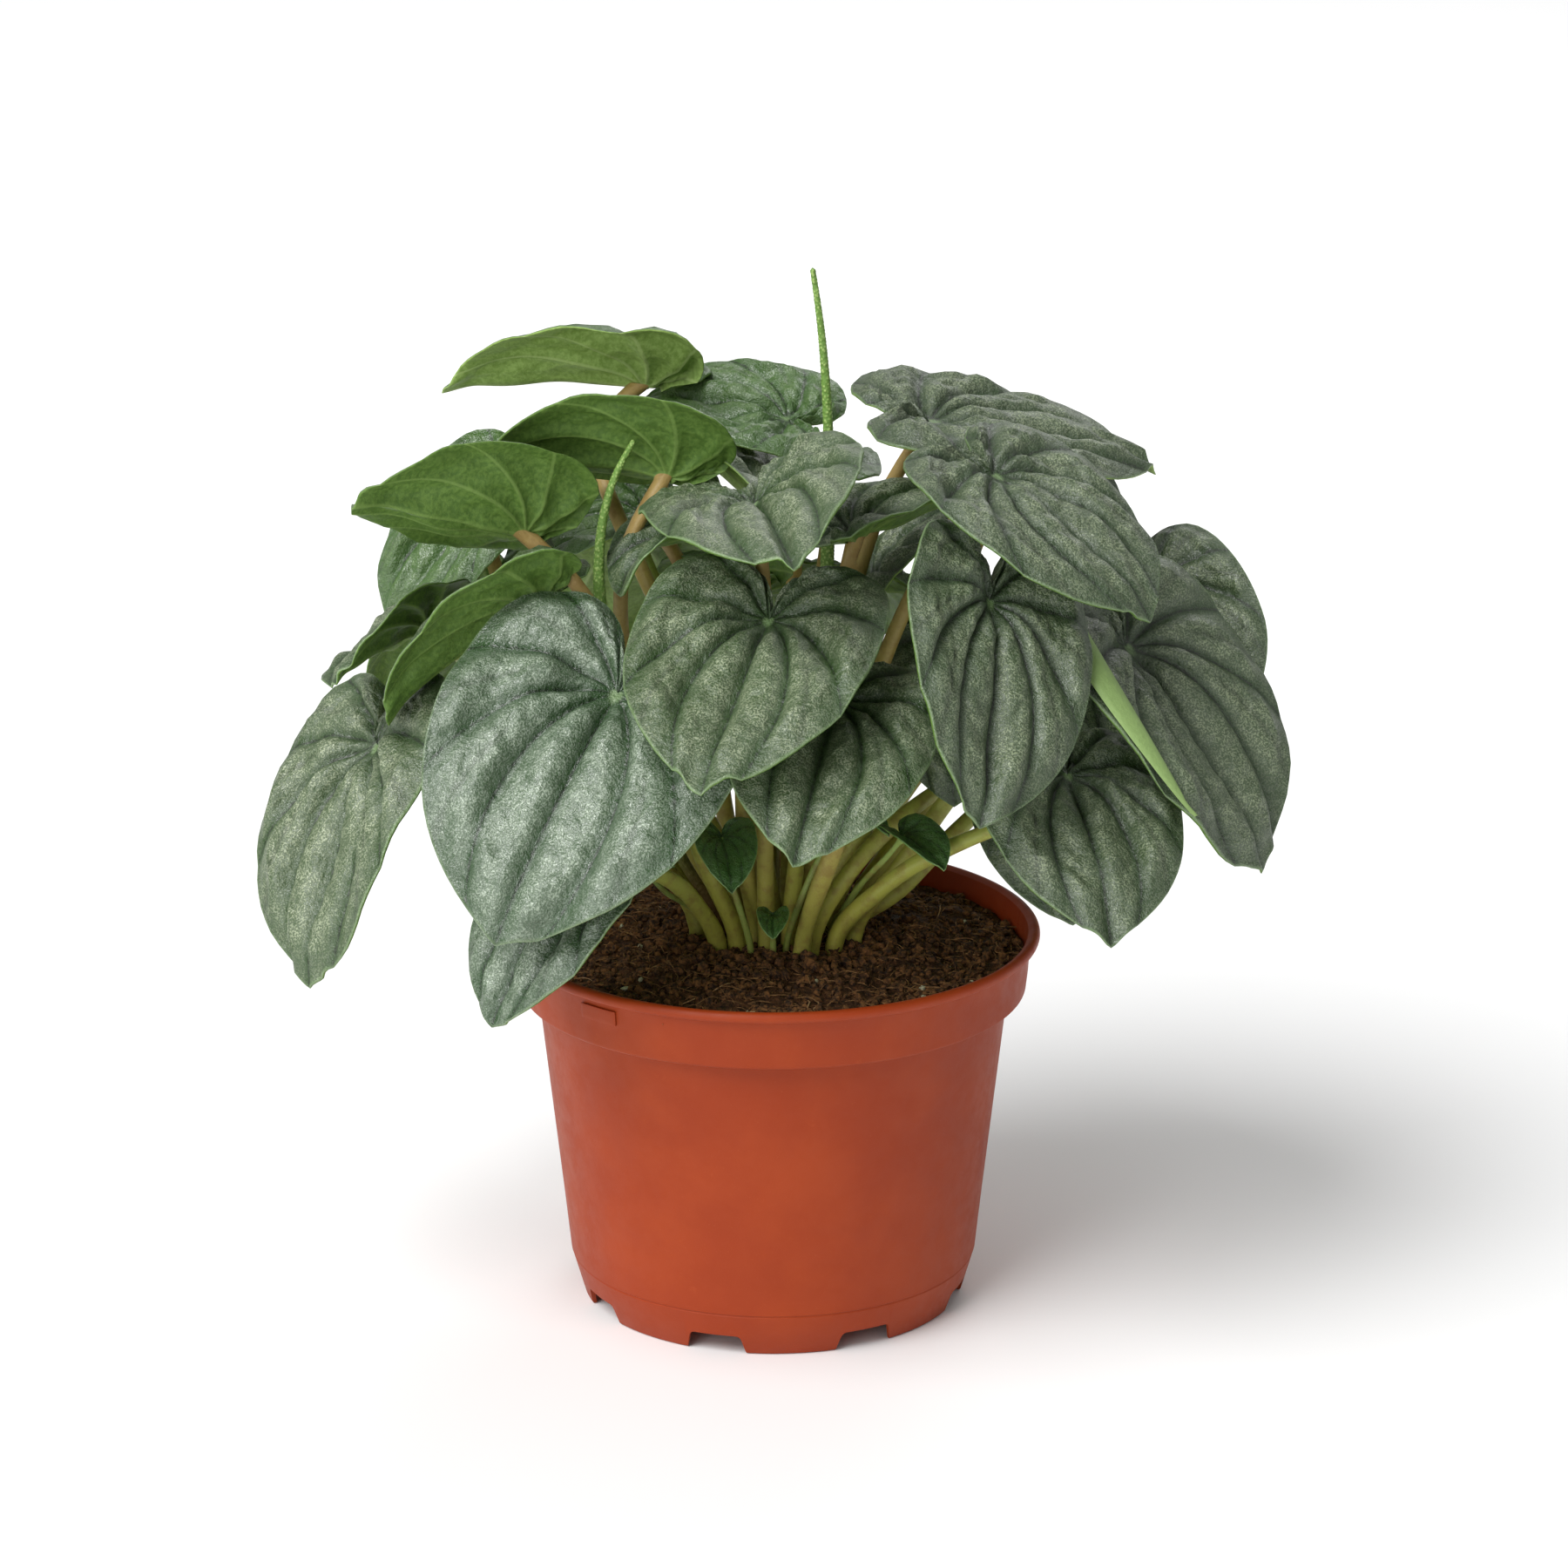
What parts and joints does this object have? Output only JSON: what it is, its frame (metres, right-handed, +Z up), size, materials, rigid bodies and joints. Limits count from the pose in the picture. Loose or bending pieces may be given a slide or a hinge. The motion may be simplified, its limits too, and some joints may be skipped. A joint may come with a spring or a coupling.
{
  "type": "potted peperomia",
  "caption": "Bushy peperomia with heart-shaped quilted silver-green leaves on fleshy stalks and slim flower spikes, in a round terracotta-coloured nursery pot.",
  "frame": {"origin": "on the pot's axis, on the surface the pot stands on", "axes": "+Z up along the pot's axis, -Y towards the front of the plant, +X to the right seen from the front"},
  "size_m": [0.2863, 0.2166, 0.2946],
  "materials": {
    "pot_plastic": "injection-moulded terracotta-coloured plastic, satin, very fine grain",
    "peat": "damp dark peat with straw-coloured fibres and pale grains",
    "crown": "short fleshy rootstock, olive and brown",
    "leaf": "quilted silver-green upper face with dark veins, plain light green underside, fleshy olive to red-brown stalk",
    "young_leaf": "small unfolding leaf, glossy mid green",
    "flower_spike": "slim fleshy flower spike, finely beaded, green, redder at its foot"
  },
  "bodies": {
    "root": {"pot": "pot_plastic", "soil": "peat", "crown": "crown", "leaf_01": "leaf", "leaf_02": "leaf", "leaf_03": "leaf", "leaf_04": "leaf", "leaf_05": "leaf", "leaf_06": "leaf", "leaf_07": "leaf", "leaf_08": "leaf", "leaf_09": "leaf", "leaf_10": "leaf", "leaf_11": "leaf", "leaf_12": "leaf", "leaf_13": "leaf", "leaf_14": "leaf", "leaf_15": "leaf", "leaf_16": "leaf", "leaf_17": "leaf", "leaf_18": "leaf", "leaf_19": "leaf", "leaf_20": "leaf", "leaf_21": "leaf", "leaf_22": "leaf", "leaf_23": "leaf", "leaf_24": "leaf", "leaf_25": "leaf", "leaf_26": "leaf", "leaf_27": "leaf", "leaf_28": "leaf", "leaf_29": "leaf", "leaf_30": "leaf", "leaf_31": "leaf", "leaf_32": "leaf", "leaf_33": "leaf", "leaf_34": "leaf", "leaf_35": "leaf", "leaf_36": "leaf", "leaf_37": "leaf", "young_leaf_01": "young_leaf", "young_leaf_02": "young_leaf", "young_leaf_03": "young_leaf", "young_leaf_04": "young_leaf", "young_leaf_05": "young_leaf", "flower_spike_01": "flower_spike", "flower_spike_02": "flower_spike", "flower_spike_03": "flower_spike"}
  },
  "joints": []
}
